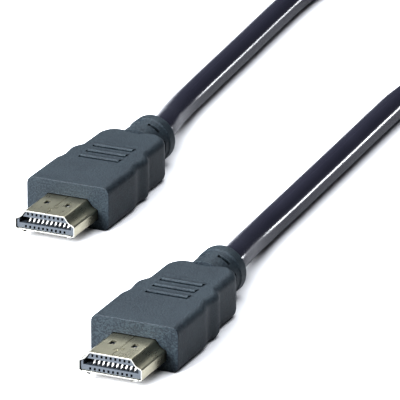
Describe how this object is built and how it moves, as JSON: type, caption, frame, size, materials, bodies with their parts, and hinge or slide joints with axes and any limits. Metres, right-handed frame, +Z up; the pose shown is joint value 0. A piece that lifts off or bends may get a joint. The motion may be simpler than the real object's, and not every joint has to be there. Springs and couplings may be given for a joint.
{
  "type": "hdmi cable",
  "caption": "Round black video cable with a flat metal-shelled plug moulded on each end, its spare length wound into a tied coil.",
  "frame": {"origin": "on the floor, under the middle of the box that holds the two plugs", "axes": "+Z up; +Y from the plugs' mouths towards the cable; +X from plug a to plug b"},
  "size_m": [0.09, 0.3252, 0.014],
  "materials": {
    "shell_nickel": "drawn sheet, warm nickel plating, satin gloss",
    "insulator_plastic": "moulded, fine matt",
    "contact_plating": "bright plated strip",
    "overmould_vinyl": "moulded vinyl with a fine grain",
    "cable_jacket": "smooth extruded vinyl, satin gloss",
    "tie_fabric": "woven strap"
  },
  "bodies": {
    "root": {"plug_a_shell": "shell_nickel", "plug_a_insulator": "insulator_plastic", "plug_a_contact_lower_1": "contact_plating", "plug_a_contact_lower_2": "contact_plating", "plug_a_contact_lower_3": "contact_plating", "plug_a_contact_lower_4": "contact_plating", "plug_a_contact_lower_5": "contact_plating", "plug_a_contact_lower_6": "contact_plating", "plug_a_contact_lower_7": "contact_plating", "plug_a_contact_lower_8": "contact_plating", "plug_a_contact_lower_9": "contact_plating", "plug_a_contact_lower_10": "contact_plating", "plug_a_contact_upper_1": "contact_plating", "plug_a_contact_upper_2": "contact_plating", "plug_a_contact_upper_3": "contact_plating", "plug_a_contact_upper_4": "contact_plating", "plug_a_contact_upper_5": "contact_plating", "plug_a_contact_upper_6": "contact_plating", "plug_a_contact_upper_7": "contact_plating", "plug_a_contact_upper_8": "contact_plating", "plug_a_contact_upper_9": "contact_plating", "plug_a_overmould": "overmould_vinyl", "plug_b_shell": "shell_nickel", "plug_b_insulator": "insulator_plastic", "plug_b_contact_lower_1": "contact_plating", "plug_b_contact_lower_2": "contact_plating", "plug_b_contact_lower_3": "contact_plating", "plug_b_contact_lower_4": "contact_plating", "plug_b_contact_lower_5": "contact_plating", "plug_b_contact_lower_6": "contact_plating", "plug_b_contact_lower_7": "contact_plating", "plug_b_contact_lower_8": "contact_plating", "plug_b_contact_lower_9": "contact_plating", "plug_b_contact_lower_10": "contact_plating", "plug_b_contact_upper_1": "contact_plating", "plug_b_contact_upper_2": "contact_plating", "plug_b_contact_upper_3": "contact_plating", "plug_b_contact_upper_4": "contact_plating", "plug_b_contact_upper_5": "contact_plating", "plug_b_contact_upper_6": "contact_plating", "plug_b_contact_upper_7": "contact_plating", "plug_b_contact_upper_8": "contact_plating", "plug_b_contact_upper_9": "contact_plating", "plug_b_overmould": "overmould_vinyl", "cable_lead_a": "cable_jacket", "cable_lead_b": "cable_jacket", "cable_coil": "cable_jacket", "coil_tie": "tie_fabric"}
  },
  "joints": []
}
